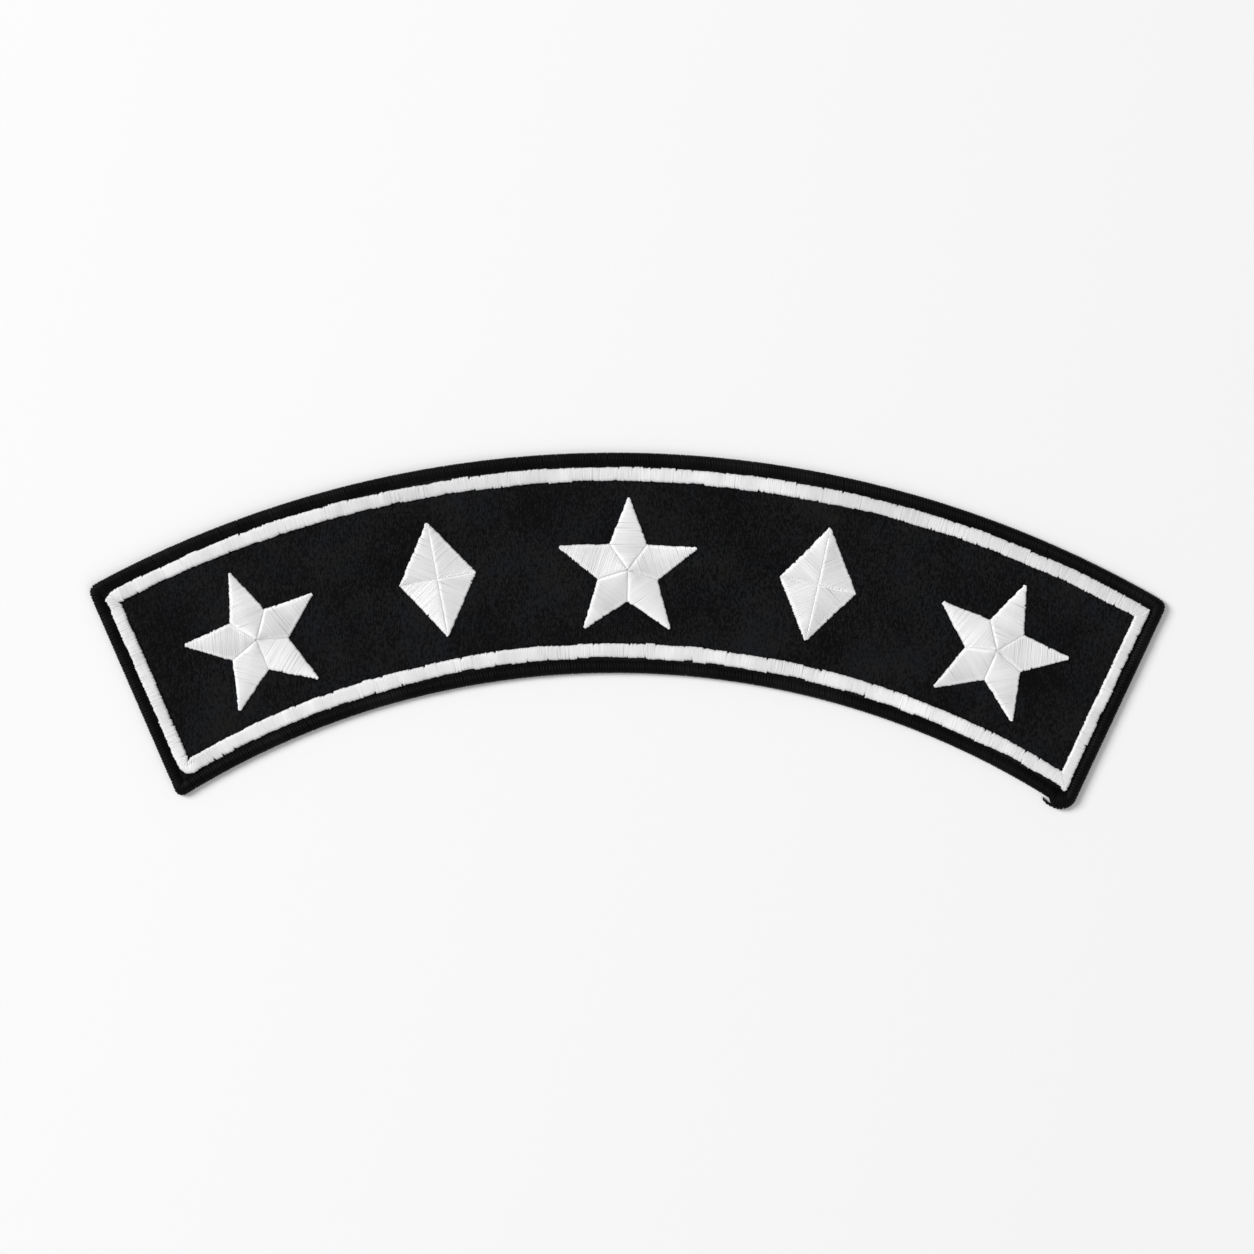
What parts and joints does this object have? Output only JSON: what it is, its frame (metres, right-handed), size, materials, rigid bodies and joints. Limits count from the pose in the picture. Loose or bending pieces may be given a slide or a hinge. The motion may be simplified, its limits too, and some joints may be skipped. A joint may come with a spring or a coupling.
{
  "type": "rocker patch",
  "caption": "Arched embroidered patch of black twill with an overlocked black border, a white satin-stitched line inside it and a row of white stars and lozenges.",
  "frame": {"origin": "middle of the patch's bounding box, at its back, on the surface that it lies on", "axes": "+X along the band to the right, +Y towards the crown of the arch, +Z out of the embroidered face"},
  "size_m": [0.3052, 0.099, 0.0029],
  "materials": {
    "black_twill": "matt black woven twill, stiffened",
    "black_border_thread": "black overlocking thread with a faint sheen",
    "white_satin_thread": "white embroidery thread in satin stitch, with a silky sheen"
  },
  "bodies": {
    "root": {"twill_ground": "black_twill", "merrowed_border": "black_border_thread", "frame_stitching": "white_satin_thread", "star_left": "white_satin_thread", "lozenge_left": "white_satin_thread", "star_middle": "white_satin_thread", "lozenge_right": "white_satin_thread", "star_right": "white_satin_thread"}
  },
  "joints": []
}
